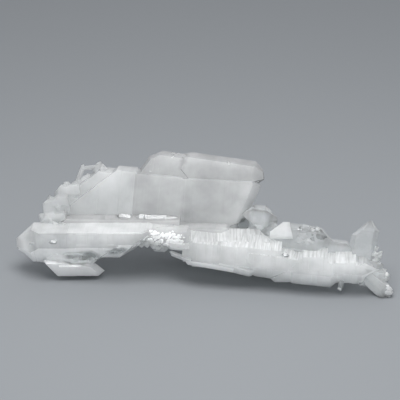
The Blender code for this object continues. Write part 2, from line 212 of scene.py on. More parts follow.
def mark_faces(mesh, axis, normals, amounts):
    """Gives each face the crystal's long axis, and each named amount for the side it looks to.

    A face looks to the side whose normal has the largest dot product with its own. An amount
    is one number for all six sides or six numbers.
    """
    count = len(mesh.polygons)
    outward = np.empty(count * 3)
    mesh.polygons.foreach_get("normal", outward)
    nearest = np.argmax(outward.reshape(-1, 3) @ normals.T, axis=1)
    long_axis = mesh.attributes.new("long_axis", "FLOAT_VECTOR", "FACE")
    long_axis.data.foreach_set("vector", np.tile(axis, count))
    for name, amount in amounts.items():
        by_side = np.broadcast_to(np.asarray(amount, float), 6)
        mesh.attributes.new(name, "FLOAT", "FACE").data.foreach_set("value", by_side[nearest])


def grow(start, end, sides, roll=0.0, tail=None, tip=None, cuts=(), steps=(0, 0.0),
         milk=0.3, frost=0.03, lines=0.05, grey_and_shade=0.0):
    """One crystal, kept for joining: a hexagon carried along its long axis.

    start and end are the ends of the axis. sides holds the distances of the six side faces,
    from the one towards t and turning towards s, and roll turns them all further, in degrees.
    tail and tip hold how far each of the six end faces is set in from start and end, or lies
    past it where that is below zero; without them that end is cut straight across. cuts are
    extra planes (point, normal), and what lies outside them goes. milk, frost, lines and the
    greyness say how cloudy, how dull, how strongly lined across and how grey the crystal is,
    from 0 to 1, over all or side by side. The greyness is partly the crystal's own grey tone and
    partly painted shade, which darkens crystals that lie in shade.
    """
    start = np.asarray(start, float)
    run = np.asarray(end, float) - start
    length = np.linalg.norm(run)
    axis = run / length
    front = np.array((0.0, 1.0, 0.0)) if abs(axis[2]) > ALONG_T else np.array((0.0, 0.0, 1.0))
    front = front - front @ axis * axis
    front = front / np.linalg.norm(front)
    across = np.cross(front, axis)
    angles = np.radians(roll) + SIXTH * np.arange(6)
    normals = np.cos(angles)[:, None] * front + np.sin(angles)[:, None] * across
    tangents = np.cos(angles)[:, None] * across - np.sin(angles)[:, None] * front

    draw = np.random.default_rng(len(grown))
    x, wall, sideways = hexagons(length, sides, tail, tip, steps, draw)
    corners = (
        start
        + x[:, None, None] * axis
        + wall.T[:, :, None] * normals
        + sideways.T[:, :, None] * tangents
    )
    rings = len(x)
    ring = np.arange(rings - 1)[:, None] * 6
    corner = np.arange(6)[None, :]
    before = (corner - 1) % 6
    quads = np.stack((ring + before, ring + corner, ring + corner + 6, ring + before + 6), axis=2)
    caps = [list(range(5, -1, -1)), list(range(rings * 6 - 6, rings * 6))]

    mesh = bpy.data.meshes.new("crystal")
    mesh.from_pydata(on_table(corners.reshape(-1, 3)), [], quads.reshape(-1, 4).tolist() + caps)
    trim(mesh, cuts)
    amounts = {"milk": milk, "frost": frost, "lines": lines, "grey_and_shade": grey_and_shade}
    mark_faces(mesh, axis @ SPECIMEN, normals @ SPECIMEN, amounts)
    grown.append(mesh)


def front_and_back(point, along, up, out):
    """Two cuts through a point, one sloping off to the front and its mirror image to the back."""
    return [(point, (along, up, out)), (point, (along, up, -out))]


FLAT_ON_TABLE = (-ROW_ORIGIN @ SPECIMEN.T, (0.0, 0.0, -1.0) @ SPECIMEN.T)

# By side: front, upper, back upper, back, under and lower front. The lower front is milkiest
ROW = {"milk": (0.40, 0.55, 0.40, 0.40, 0.40, 0.75), "lines": (0.05, 0.12, 0.1, 0.05, 0.05, 0.05)}
FOOT = {"milk": (0.75, 0.90, 0.60, 0.60, 0.70, 0.95)}

# The prism in three lengths, each with less of its underside
grow((-40.8, -1.95, 0.0), (-17.2, -0.80, 0.0), (4.69, 3.90, 3.90, 4.69, 3.57, 3.57), roll=0.3,
     tail=(0.9, 0.0, 0.1, 1.2, 0.5, 0.4), tip=(-6.0, -6.0, -6.0, -4.0, -6.0, -6.0),
     cuts=[((-39.6, -2.2, 0.0), (-1.0, -0.1, 0.2)), ((-21.12, -4.14, 0.00), (0.50, -0.87, 0.0))],
     steps=(9, 0.10), **ROW)
grow((-26.0, -1.20, 0.0), (-10.0, -0.45, 0.0), (4.79, 3.86, 3.85, 4.50, 2.60, 2.95), roll=-0.4,
     tip=(-4.0, -4.0, -4.0, 0.0, -4.0, -4.0), cuts=[((-15.98, -3.13, 0.00), (0.62, -0.78, 0.0))],
     steps=(8, 0.10), **ROW)
grow((-22.0, -1.05, -0.1), (-5.3, -0.25, 0.1), (4.88, 3.93, 3.86, 4.40, 0.60, 0.55), roll=0.5,
     tip=(1.2, 0.0, 0.8, 0.5, 0.6, 0.9), steps=(8, 0.10), **ROW)
# The lower prism, the foot under it in two lengths, and a low crystal between them
grow((-40.2, -2.70, -0.6), (-25.5, -3.25, -0.6), (3.70, 3.00, 3.00, 3.70, 2.60, 2.40), roll=-2.0,
     tail=(1.0, 0.6, 0.6, 1.0, 0.0, 0.0), tip=(0.0, 0.0, 0.0, 0.0, 0.6, 0.4),
     cuts=front_and_back((-36.0, -5.0, -0.6), -0.42, -0.80, 0.42), steps=(9, 0.08), **FOOT)
grow((-35.0, -6.97, 0.22), (-24.0, -6.43, -1.55), (2.99, 1.74, 3.67, 3.13, 1.76, 2.08), roll=24.0,
     tip=(0.3, 0.5, 0.6, 0.2, 0.0, 0.3),
     cuts=[((-31.6, -6.9, -1.0), (-0.73, -0.68, -0.05)), FLAT_ON_TABLE], steps=(5, 0.05), **FOOT)
grow((-30.0, -7.20, 0.05), (-20.2, -6.75, -1.40), (2.43, 1.52, 2.20, 2.20, 1.24, 1.59), roll=24.0,
     tip=(0.2, 0.3, 0.4, 0.2, 0.0, 0.0), cuts=[FLAT_ON_TABLE], steps=(5, 0.05), **FOOT)
grow((-33.46, -4.68, 1.30), (-21.62, -4.72, 0.80), (1.55, 1.25, 1.10, 1.40, 1.10, 1.05), roll=3.0,
     tail=(0.3, 0.2, 0.0, 0.2, 0.0, 0.3), tip=(0.2, 0.3, 0.0, 0.2, 0.0, 0.2),
     steps=(9, 0.12), milk=0.9)
# Two small growth hillocks on its front, turned so that their tops mirror the lamp
grow((-31.9, -1.60, 4.75), (-29.7, -1.45, 4.10), (0.52, 0.56, 0.40, 0.40, 0.40, 0.56), roll=22.0,
     tail=(0.0, 0.1, 0.0, 0.0, 0.0, 0.1), tip=(0.0, 0.0, 0.1, 0.0, 0.1, 0.0))
grow((-36.1, -2.05, 3.55), (-35.0, -2.10, 3.20), (0.50, 0.35, 0.30, 0.30, 0.30, 0.35), roll=24.0)

# Blade
# The tall flat crystals that stand up the plate behind the row, side by side, and the two
# narrow ledges at their foot. They are milky in the depth, with soft low steps on their faces,
# and greyer than the row. Their grey is partly painted shade: darker on the crystals that lie
# in shade, and darkest on the first ledge, in the shade under the blade.
BLADE_MILK = (0.70, 0.60, 0.60, 0.80, 0.60, 0.60)
BLADE = {"milk": BLADE_MILK, "grey_and_shade": 0.60}
SHADED_BLADE = {"milk": BLADE_MILK, "grey_and_shade": 0.71}
LEDGE = {"milk": BLADE_MILK, "grey_and_shade": 0.82}
BLADE_CORNER = (12.1, 13.1, -4.5)

grow((-27.2, 9.45, -4.4), (-12.4, 8.78, -4.4), (2.40, 6.20, 6.15, 2.45, 6.50, 6.50), roll=0.2,
     tail=(-5.0, 0.0, 0.4, -1.0, -8.0, -8.0), tip=(0.0, -5.0, -5.0, 0.0, -5.0, -5.0),
     steps=(6, 0.08), **BLADE)
grow((-18.0, 8.95, -4.4), (-1.8, 8.20, -4.4), (2.22, 5.90, 5.90, 2.60, 6.40, 6.30), roll=-0.3,
     tip=(0.0, -4.0, -4.0, 0.0, -5.0, -5.0), steps=(6, 0.08), **SHADED_BLADE)
grow((-5.5, 8.70, -4.5), (14.5, 8.70, -4.5), (2.36, 5.50, 5.60, 2.50, 6.30, 6.20), roll=0.4,
     cuts=[(BLADE_CORNER, (0.78, -0.29, 0.55)), (BLADE_CORNER, (0.78, -0.29, -0.58)),
           (BLADE_CORNER, (0.72, 0.52, 0.45)), (BLADE_CORNER, (0.70, 0.51, -0.50)),
           ((7.53, 4.65, -2.20), (0.39, -0.92, 0.0))],
     steps=(7, 0.08), **SHADED_BLADE)
grow((-31.0, 9.30, -5.1), (-16.0, 8.60, -5.1), (2.30, 6.00, 5.95, 2.20, 5.50, 5.50), roll=-0.5,
     tail=(-1.0, 0.0, 0.2, -0.5, -1.5, -1.2), steps=(5, 0.08), **BLADE)
# The two ledges
grow((-32.0, 3.00, -1.6), (-4.6, 3.85, -1.6), (1.90, 1.50, 3.50, 3.00, 3.00, 2.50), roll=0.0,
     tail=(0.0, 1.0, 0.6, 0.0, 0.0, 0.0), steps=(12, 0.08), **LEDGE)
grow((-9.0, 2.40, -1.5), (7.4, 2.95, -1.5), (2.30, 1.30, 3.60, 3.00, 3.00, 2.50), roll=0.4,
     tail=(0.0, 0.6, 0.0, 0.0, 0.0, 0.0), tip=(0.0, 0.4, 0.0, 0.0, 0.0, 0.0),
     steps=(8, 0.08), **SHADED_BLADE)

# Slivers along the ledges, turned so that one face mirrors the lamp: start, end, thickness
SLIVERS = (
    ((-18.50, 4.92, -0.85), (-14.67, 4.92, -1.45), 0.50),
    ((-14.38, 4.90, -0.90), (-10.12, 4.96, -1.45), 0.70),
    ((-13.05, 4.84, -0.70), (-6.87, 4.99, -1.45), 0.62),
    ((-8.53, 4.83, -0.85), (-4.69, 4.93, -1.30), 0.45),
    ((-10.63, 2.27, 2.05), (-5.51, 3.60, 0.50), 0.20),
    ((-11.09, 2.98, 0.35), (-6.49, 4.10, -0.35), 0.18),
    ((-4.84, 2.78, 2.35), (-0.59, 3.14, 2.35), 0.24),
)
for start, end, thin in SLIVERS:
    wide = thin * 1.2
    grow(start, end, (thin, wide, thin, thin, thin, wide), roll=20.0,
         tail=(0.1, 0.0, 0.2, 0.0, 0.1, 0.1), tip=(0.2, 0.0, 0.1, 0.0, 0.0, 0.3),
         steps=(5, 0.10), frost=0.15)

# Crown
# Two frosted crystals behind the top of the blade. Fine etching has dulled their faces to a
# matt pale grey, and their ends are blunt.
MATT = {"milk": (0.65, 0.50, 0.50, 0.80, 0.50, 0.40), "grey_and_shade": 0.73, "frost": 0.45}

grow((-16.0, 17.06, -4.9), (-3.0, 15.70, -4.9), (2.12, 3.00, 3.05, 2.60, 4.20, 4.20), roll=0.5,
     cuts=[*front_and_back((-14.3, 15.9, -4.9), -0.75, 0.50, 0.43),
           *front_and_back((-12.6, 18.5, -4.9), -0.38, 0.82, 0.43)],
     steps=(5, 0.06), **MATT)
grow((-7.6, 17.05, -4.9), (14.1, 14.85, -4.9), (2.40, 2.80, 2.85, 2.50, 3.00, 4.00), roll=-0.5,
     tail=(-2.6, -2.0, 0.6, 0.4, 0.0, 0.0), tip=(0.6, 0.0, 0.1, 0.6, 1.0, 0.6),
     cuts=[((12.5, 16.0, -4.9), (1.0, 0.15, 0.1)), ((-3.75, 19.61, -2.45), (-0.75, 0.26, 0.60))],
     steps=(6, 0.03), **MATT)

# Arm
# The row of prisms from the neck to the right end. Their upper faces are the most strongly
# stepped of all, and catch the light from above in fine upright lines.
ARM_MILK = (0.52, 0.60, 0.40, 0.40, 0.50, 0.70)
ARM = {"milk": ARM_MILK, "lines": (0.05, 0.9, 0.3, 0.05, 0.05, 0.05)}
LAST_OF_ARM = {"milk": (0.45, 0.35, 0.40, 0.40, 0.40, 0.50), "lines": (0.05, 0.5, 0.3, 0.05, 0.05, 0.05)}

# The neck
grow((-14.4, 0.88, 0.1), (0.6, 0.28, 0.1), (3.05, 2.70, 2.95, 3.20, 1.75, 1.85), roll=1.0,
     tail=(0.0, 0.0, 0.0, 0.0, 0.9, 0.8), tip=(0.0, 0.0, 0.0, 0.0, 0.0, 0.0), steps=(16, 0.12), milk=0.45)
grow((-14.4, 0.88, 0.1), (-6.6, 0.57, 0.1), (2.95, 2.50, 2.60, 3.00, 2.55, 2.60), roll=1.0,
     tail=(0.0, 0.0, 0.0, 0.0, 1.7, 1.6), tip=(-4.0, -4.0, -4.0, -4.0, -2.4, -2.6),
     steps=(9, 0.12), milk=0.35)
# A milky sliver under the neck and the first prism, in three lengths
grow((-6.58, -2.31, 1.60), (-0.44, -4.28, 2.10), (0.90, 0.52, 0.52, 0.90, 0.48, 0.52), roll=0.0,
     tail=(0.0, 0.0, 0.0, 0.0, 0.4, 0.4), steps=(4, 0.06), milk=0.9)
grow((-2.99, -4.11, 2.20), (7.70, -5.40, 2.00), (0.95, 0.75, 0.62, 0.95, 0.52, 0.62), roll=0.0,
     tail=(0.4, 0.0, 0.0, 0.3, 0.2, 0.2), steps=(6, 0.06), milk=1.0)
grow((4.5, -4.24, 1.5), (13.0, -5.90, 1.1), (1.90, 1.05, 1.20, 1.90, 0.95, 1.15), roll=0.0,
     tip=(0.0, 0.0, 0.0, 0.5, 0.4, 0.6), steps=(6, 0.08), milk=0.7)
# The prisms of the arm
grow((-1.3, -0.90, 0.0), (21.5, -1.95, 0.0), (3.79, 3.15, 3.60, 3.80, 3.14, 4.15), roll=-10.0,
     tip=(-3.0, -3.0, -3.0, 0.5, -3.0, -2.0),
     cuts=[((17.5, 2.0, 0.0), (1.0, 0.05, 0.0))], steps=(26, 0.16), **ARM)
grow((-3.3, -0.81, 0.0), (1.0, -1.00, 0.0), (3.44, 1.60, 1.80, 3.40, 2.50, 3.30), roll=-10.0,
     steps=(4, 0.08), **ARM)
grow((-2.3, -0.98, 0.15), (16.0, -0.13, -1.87), (3.40, 3.20, 3.85, 3.30, 3.00, 3.30), roll=-10.0,
     cuts=[((12.4, 3.56, -1.0), (0.68, 0.73, 0.0))], steps=(18, 0.14), **ARM)
grow((6.0, -2.00, 0.2), (24.5, -3.60, 0.2), (3.70, 2.60, 2.90, 3.60, 3.60, 3.45), roll=-4.0,
     tail=(0.2, 0.0, 0.5, 0.4, 2.0, 1.6), tip=(0.0, 1.5, 2.0, 0.5, -3.0, -2.0),
     steps=(16, 0.10), **ARM)
grow((18.2, -3.92, 0.3), (27.4, -3.50, 0.3), (3.78, 3.25, 3.25, 3.60, 3.25, 3.00), roll=0.6,
     tail=(-6.0, 0.0, -6.0, -6.0, -6.0, -6.0), steps=(10, 0.10), **ARM)
grow((14.9, -3.65, 0.3), (31.4, -4.45, 0.3), (3.70, 2.85, 3.05, 3.60, 3.25, 3.30), roll=0.6,
     tail=(0.0, 0.0, 0.0, 0.0, 1.0, 1.2), tip=(-1.5, 0.0, 0.5, 0.0, -1.0, -1.0),
     steps=(14, 0.10), **ARM)
grow((29.0, -3.75, 0.0), (33.3, -3.58, 0.0), (3.92, 2.95, 3.30, 3.70, 2.85, 3.00), roll=-5.0,
     steps=(6, 0.12), **ARM)
grow((33.0, -3.60, 0.0), (38.6, -3.50, 0.0), (3.90, 2.75, 3.10, 3.70, 2.85, 3.00), roll=-5.0,
     tail=(-6.0, -6.0, -6.0, 0.0, 0.0, 0.0), tip=(-0.9, 0.0, 0.6, 0.3, 0.4, 0.0),
     steps=(6, 0.12), **LAST_OF_ARM)
grow((24.2, -3.35, 0.0), (38.6, -3.75, 0.0), (3.86, 2.50, 2.90, 3.70, 2.85, 3.10), roll=-5.0,
     tail=(-1.0, 0.0, 0.4, 0.0, 0.0, 0.0), tip=(-0.9, 0.0, 0.6, 0.3, 0.4, 0.0),
     steps=(16, 0.12), **ARM)
# A small facet on the front, turned to mirror the lamp
grow((17.5, -1.75, 3.65), (19.5, -1.85, 3.70), (0.35, 0.70, 0.50, 0.50, 0.50, 0.62), roll=24.0,
     tail=(0.1, 0.0, 0.2, 0.1, 0.2, 0.0), tip=(0.1, 0.2, 0.0, 0.1, 0.0, 0.2))

# Right shoulder
# Short clear crystals on top of the row, to the right of the blade, with tiny ones crowded
# between them.
SLENDERNESS = (1.5, 2.4)             # a small crystal's length by its width
UNEVENNESS = (0.85, 1.12)            # its side faces' distances by its radius
END_SET_IN = (0.0, 0.4)              # how far its end faces are set in, by its radius


def crust(middle, spread, count, width, direction, scatter, seed, rolls=(0.0, 60.0),
          milk=0.3, frost=0.03, grey_and_shade=0.0):
    """Small crystals crowded over a patch, all roughly in one direction.

    The places lie at random up to spread from middle. width gives the least and the most
    radius, scatter how far each crystal's axis strays from direction, and rolls the least and
    the most turn about the axis. The draws come from seed, so each run grows the same crystals.
    """
    draw = random.Random(seed)
    for _ in range(count):
        place = np.array([centre + draw.uniform(-half, half) for centre, half in zip(middle, spread)])
        axis = np.array([lead + draw.uniform(-scatter, scatter) for lead in direction])
        axis = axis / np.linalg.norm(axis)
        radius = draw.uniform(*width)
        half_length = radius * draw.uniform(*SLENDERNESS)
        sides = [radius * draw.uniform(*UNEVENNESS) for _ in range(6)]
        tail = [radius * draw.uniform(*END_SET_IN) for _ in range(6)]
        tip = [radius * draw.uniform(*END_SET_IN) for _ in range(6)]
        grow(place - half_length * axis, place + half_length * axis, sides,
             roll=draw.uniform(*rolls), tail=tail, tip=tip, milk=milk, frost=frost, grey_and_shade=grey_and_shade)


grow((7.7, 6.35, -3.0), (16.6, 5.85, -3.0), (2.30, 2.50, 2.45, 2.50, 2.60, 2.60), roll=2.0,
     tail=(0.4, 0.0, 0.1, 0.2, 0.3, 0.0), tip=(0.6, 0.0, 0.2, 0.3, -1.0, -1.0),
     cuts=[((10.16, 5.24, -1.00), (-0.60, -0.80, 0.0))], steps=(5, 0.06))
grow((12.2, 3.16, -2.4), (18.2, 3.00, -2.4), (2.40, 2.00, 2.10, 2.40, 2.60, 2.40), roll=-4.0,
     tail=(0.2, 0.0, 0.3, 0.0, 0.4, 0.2), tip=(0.0, 0.2, 0.0, 0.3, 0.0, 0.0), steps=(5, 0.06))
grow((13.8, 2.70, -0.6), (28.8, 1.40, -0.6), (2.10, 2.55, 2.70, 2.80, 3.00, 3.00), roll=-3.0,
     tail=(-0.3, 0.0, 0.3, 0.2, 0.0, 0.0), tip=(0.3, 0.0, 0.4, 0.2, 0.0, 0.0),
     steps=(9, 0.08), milk=0.42, grey_and_shade=0.4)
grow((25.5, 0.10, -0.8), (33.8, -0.35, -0.8), (1.15, 1.90, 2.05, 2.30, 2.50, 2.50), roll=3.0,
     tip=(0.0, 0.4, 0.0, 0.0, 0.0, 0.0), steps=(6, 0.06))
# The frosted block whose one face shows nearly white
grow((14.00, 3.18, 0.95), (20.34, 3.49, 0.95), (1.05, 1.95, 1.20, 1.00, 1.20, 2.05), roll=10.0,
     cuts=[((15.10, 3.18, 1.90), (-0.64, 0.77, 0.0)), ((19.30, 3.81, 1.90), (1.0, 0.25, 0.0)),
           ((14.91, 2.75, 1.90), (-1.0, 0.0, 0.0))], milk=0.6, frost=0.35)
# A tiny facet that mirrors the lamp, then the crowded crystals
grow((13.46, 5.40, -0.65), (14.53, 5.45, -0.65), (0.38, 0.32, 0.25, 0.3, 0.25, 0.32), roll=24.0)
crust((21.88, 2.48, 1.30), (1.6, 1.7, 0.2), 14, (0.35, 0.75), (1.0, -0.1, 0.1), 0.45, 41, milk=0.35)
crust((24.81, 3.06, 1.00), (1.0, 1.3, 0.2), 7, (0.45, 0.80), (1.0, -0.5, 0.1), 0.35, 43, milk=0.2)

# Right end
# A bunch of small quartz points that grew out of the last prism in all directions. The
# lowest one ends in a small flat on the table and carries this end of the row.
grow((34.9, -4.00, -0.6), (36.1, 6.90, -0.6), (1.90, 3.20, 3.20, 1.90, 1.85, 1.80), roll=2.0,
     tip=(0.4, 0.0, 0.1, 0.4, 0.0, 0.2), steps=(5, 0.05), milk=0.38, grey_and_shade=0.25)
grow((33.0, -3.10, 0.6), (39.5, -3.15, 0.2), (1.30, 1.20, 1.15, 1.30, 1.20, 1.15), roll=8.0,
     tip=(0.3, 0.0, 0.2, 0.4, 0.1, 0.5), steps=(3, 0.04))
grow((33.5, -2.00, -0.4), (38.6, -1.30, -0.4), (1.20, 1.10, 1.15, 1.20, 1.20, 1.15), roll=-8.0,
     tip=(0.3, 0.0, 0.2, 0.4, 0.1, 0.5), steps=(3, 0.04))
grow((33.4, -2.80, -0.5), (40.7, -6.10, -0.6), (1.90, 1.55, 1.55, 1.90, 1.65, 1.70), roll=-8.0,
     tip=(0.4, 0.0, 0.3, 0.4, 0.1, 0.2), steps=(4, 0.05), milk=0.5, grey_and_shade=0.25)
grow((33.4, -3.20, 0.1), (41.2, -9.90, -0.3), (1.90, 1.70, 1.60, 1.80, 1.45, 1.50), roll=5.0,
     tip=(0.6, 0.3, 0.2, 0.6, 0.0, 0.2), cuts=[FLAT_ON_TABLE], steps=(5, 0.05), milk=0.5, grey_and_shade=0.25)
grow((30.4, -6.20, 0.4), (30.2, -9.00, 0.6), (0.55, 0.50, 0.55, 0.55, 0.50, 0.50), roll=10.0,
     tip=(0.1, 0.0, 0.2, 0.1, 0.0, 0.3))
grow((34.0, -5.80, -0.2), (35.9, -7.60, -0.3), (0.90, 0.85, 0.80, 0.90, 0.85, 0.85), roll=-10.0,
     tip=(0.1, 0.0, 0.2, 0.1, 0.0, 0.3))
crust((37.6, -1.60, 0.2), (0.9, 2.2, 0.5), 18, (0.25, 0.55), (1.0, 0.3, 0.1), 0.55, 11, milk=0.6)
crust((39.28, -4.86, 0.00), (0.7, 1.4, 0.4), 8, (0.45, 0.75), (1.0, 0.1, 0.1), 0.45, 13, milk=0.45)
crust((39.95, -7.55, 0.20), (0.4, 0.9, 0.4), 6, (0.40, 0.65), (1.0, -0.3, 0.1), 0.35, 15, milk=0.75)

# Left druse
# Small crystals crowded along the left edge of the plate, frosted and pointing outwards. At
# the top, a few thin ones lean together in an arch.
DRUSE = {"milk": 0.60, "frost": 0.55, "grey_and_shade": 0.40}

grow((-30.5, 3.50, -2.6), (-33.9, 9.10, -3.2), (1.60, 1.70, 1.50, 1.60, 1.60, 1.70), roll=12.0,
     tip=(0.2, 0.0, 0.4, 0.2, 0.1, 0.3), steps=(4, 0.05), **DRUSE)
grow((-31.5, 2.20, -1.6), (-35.7, 4.70, -1.8), (1.50, 1.45, 1.50, 1.60, 1.50, 1.55), roll=-9.0,
     tip=(0.3, 0.2, 0.0, 0.2, 0.1, 0.0), steps=(3, 0.05), **DRUSE)
grow((-33.6, 6.60, -3.6), (-20.0, 6.20, -3.9), (1.25, 2.30, 2.40, 2.00, 2.60, 2.50), roll=-4.0,
     tail=(0.0, 0.2, 0.0, 0.3, 0.0, 0.1), steps=(5, 0.05), **DRUSE)
grow((-33.2, 9.60, -4.2), (-27.8, 9.80, -4.2), (1.20, 1.75, 1.80, 1.30, 2.20, 2.20), roll=3.0,
     tail=(0.6, 0.2, 0.4, 0.5, 0.0, 0.1), tip=(0.0, 0.0, 0.2, 0.0, 0.1, 0.0), steps=(3, 0.05), **DRUSE)
grow((-28.9, 9.50, -4.8), (-26.7, 16.30, -5.0), (0.50, 0.48, 0.45, 0.50, 0.45, 0.48), roll=4.0,
     tip=(0.2, 0.0, 0.1, 0.2, 0.3, 0.2), steps=(3, 0.04), **DRUSE)
grow((-27.8, 15.10, -4.9), (-23.0, 15.90, -4.8), (0.50, 0.42, 0.42, 0.50, 0.42, 0.42), roll=-6.0,
     tail=(0.1, 0.0, 0.2, 0.1, 0.3, 0.2), tip=(0.2, 0.0, 0.1, 0.2, 0.3, 0.2), steps=(3, 0.04), **DRUSE)
grow((-24.5, 15.20, -4.6), (-20.8, 15.10, -4.6), (1.20, 1.15, 1.20, 1.30, 1.40, 1.40), roll=7.0,
     tail=(0.4, 0.3, 0.2, 0.3, 0.0, 0.0), tip=(0.2, 0.3, 0.4, 0.2, 0.0, 0.0), steps=(3, 0.04), **DRUSE)
grow((-24.0, 14.40, -4.4), (-22.9, 17.10, -4.6), (0.75, 0.70, 0.75, 0.80, 0.70, 0.75), roll=14.0,
     tip=(0.2, 0.0, 0.1, 0.2, 0.1, 0.2), **DRUSE)
grow((-28.3, 10.50, -5.5), (-23.2, 13.80, -5.5), (1.40, 1.70, 1.60, 1.40, 1.70, 1.60), roll=5.0,
     tip=(0.2, 0.0, 0.1, 0.2, 0.1, 0.2), steps=(4, 0.05), **DRUSE)
grow((-31.82, 9.65, -3.70), (-27.15, 10.31, -3.90), (1.45, 1.50, 1.50, 1.30, 1.60, 1.60), roll=6.0,
     cuts=[((-31.57, 11.08, -3.70), (-0.80, 0.60, 0.2))], steps=(5, 0.10), **DRUSE)
grow((-34.54, 5.93, -2.30), (-28.94, 6.66, -2.70), (1.60, 1.90, 1.80, 1.50, 2.00, 2.00), roll=-5.0,
     cuts=[((-34.10, 7.80, -2.30), (-0.70, 0.70, 0.2))], steps=(7, 0.12), **DRUSE)
grow((-32.74, 7.38, -1.60), (-29.34, 7.79, -2.10), (1.20, 1.40, 1.40, 1.20, 1.40, 1.40), roll=-4.0,
     cuts=[((-32.36, 8.27, -1.60), (-0.60, 0.60, 0.4))], steps=(4, 0.10), **DRUSE)
grow((-34.62, 3.89, -1.00), (-29.43, 4.36, -1.20), (1.50, 1.15, 1.10, 1.30, 1.20, 1.20), roll=4.0,
     cuts=[((-34.43, 4.44, -1.00), (-0.80, 0.40, 0.4))], steps=(7, 0.12), **DRUSE)
crust((-31.3, 5.60, -1.4), (2.0, 2.2, 0.4), 5, (0.40, 0.70), (-0.5, 0.8, 0.1), 0.30, 3, **DRUSE)
crust((-30.8, 2.60, 0.4), (1.8, 0.6, 0.3), 5, (0.30, 0.55), (-0.7, 0.5, 0.2), 0.30, 5, **DRUSE)
crust((-29.0, 10.20, -3.6), (1.8, 1.2, 0.4), 4, (0.40, 0.75), (-0.7, 0.8, 0.1), 0.30, 8, **DRUSE)

# Neck facets
# Small sparkling crystals over the front of the neck, where the row is thinnest. They lie
# along the row, and most are turned so that a face mirrors the lamp.
crust((-7.6, 0.65, 2.98), (3.3, 1.5, 0.06), 80, (0.16, 0.33), (1.0, 0.0, -0.15), 0.12, 21,
      rolls=(12.0, 36.0), milk=0.85)
crust((-4.9, 0.20, 2.96), (1.9, 1.3, 0.08), 40, (0.16, 0.36), (1.0, 0.0, -0.12), 0.12, 22,
      rolls=(14.0, 34.0), milk=0.85)
grow((-5.97, 0.44, 2.50), (-2.80, 0.40, 2.15), (0.75, 1.30, 0.90, 0.70, 0.90, 1.00), roll=24.0,
     tail=(0.0, 0.3, 0.0, 0.0, 0.0, 0.2), tip=(0.0, 0.2, 0.0, 0.0, 0.0, 0.4), steps=(5, 0.10), milk=0.9)
crust((-11.8, -0.85, 2.7), (3.4, 0.8, 0.3), 34, (0.20, 0.42), (1.0, 0.1, 0.1), 0.25, 27, milk=0.8)
grow((-8.31, -0.61, 2.25), (-0.59, -1.11, 2.25), (1.22, 0.85, 0.90, 1.10, 0.90, 0.95), roll=-6.0,
     tail=(0.6, 0.2, 0.0, 0.3, 1.0, 1.2), tip=(0.0, 0.0, 0.0, 0.0, 0.2, 0.2), steps=(7, 0.10), milk=0.65)

# Back crystals
# Milky prisms on the hidden back of the plate, with smaller ones crowded between them. The
# lowest prism lies flat on the table and carries the plate from behind.
BACK_MILK = 0.7
BACK_TAIL = (0.2, 0.0, 0.3, 0.2, 0.4, 0.2)
BACK_TIP = (0.3, 0.5, 0.0, 0.2, 0.2, 0.4)
BACK_SCATTER = 0.40

grow((-5.5, 0.60, -10.4), (17.0, 0.60, -10.4), (3.20, 3.30, 3.40, 3.30, 3.80, 3.40), roll=0.0,
     tail=(0.4, 0.0, 0.3, 0.2, 0.4, 0.2), tip=BACK_TIP, cuts=[FLAT_ON_TABLE],
     steps=(14, 0.10), milk=BACK_MILK)
# The other prisms: start, end, sides, roll and growth steps
BACK_PRISMS = (
    ((-15.0, 4.60, -7.4), (13.5, 4.10, -7.2), (3.00, 3.30, 3.20, 2.90, 3.40, 3.20), -2.0, (14, 0.10)),
    ((-29.0, 4.40, -6.4), (-9.0, 3.90, -6.2), (2.40, 2.50, 2.60, 2.30, 2.60, 2.50), 3.0, (12, 0.10)),
    ((-10.0, 9.80, -7.6), (3.5, 9.30, -7.4), (1.90, 2.00, 2.10, 1.60, 2.20, 2.00), -3.0, (9, 0.08)),
    ((8.5, -1.20, -4.2), (24.0, -2.20, -4.0), (2.60, 2.50, 2.40, 2.30, 2.50, 2.60), 5.0, (10, 0.08)),
    ((20.5, -2.90, -3.4), (33.0, -3.60, -3.2), (2.00, 2.10, 2.00, 1.90, 2.10, 2.20), -6.0, (9, 0.08)),
)
for start, end, sides, roll, steps in BACK_PRISMS:
    grow(start, end, sides, roll=roll, tail=BACK_TAIL, tip=BACK_TIP, steps=steps, milk=BACK_MILK)
crust((-2.0, 3.60, -9.8), (7.0, 2.0, 0.7), 12, (0.60, 1.30), (1.0, 0.1, -0.2), BACK_SCATTER, 31,
      milk=BACK_MILK)
crust((-20.0, 6.50, -7.6), (7.0, 2.4, 0.5), 12, (0.60, 1.20), (1.0, 0.2, -0.2), BACK_SCATTER, 33,
      milk=BACK_MILK)
crust((6.0, 11.50, -6.9), (4.5, 1.6, 0.4), 8, (0.50, 1.10), (1.0, 0.1, -0.3), BACK_SCATTER, 35,
      milk=BACK_MILK)

# Grown together
# All the crystals are one solid of rock crystal: they grew into each other from the same
# solution. Here a union joins them, and the one solid gets its material.
FINEST_EDGE = 0.0005                 # edges shorter than this, left by the union, are closed up


def grow_together(name):
    """One closed solid from all the crystals, by a union. The pockets sealed inside are left for
    drop_pockets.
    """
    scene = bpy.context.scene
    solid = bpy.data.objects.new(name, grown[0])
    scene.collection.objects.link(solid)
    others = bpy.data.collections.new("neighbours")
    scene.collection.children.link(others)
    for mesh in grown[1:]:
        others.objects.link(bpy.data.objects.new("neighbour", mesh))
    union = solid.modifiers.new("grown together", "BOOLEAN")
    union.operation = "UNION"
    union.operand_type = "COLLECTION"
    union.collection = others
    union.solver = "MANIFOLD"
    evaluated = solid.evaluated_get(bpy.context.evaluated_depsgraph_get())
    joined = bpy.data.meshes.new_from_object(evaluated)
    solid.modifiers.clear()
    solid.data = joined
    joined.name = name
    for other in list(others.objects):
        bpy.data.objects.remove(other, do_unlink=True)
    bpy.data.collections.remove(others)
    return solid


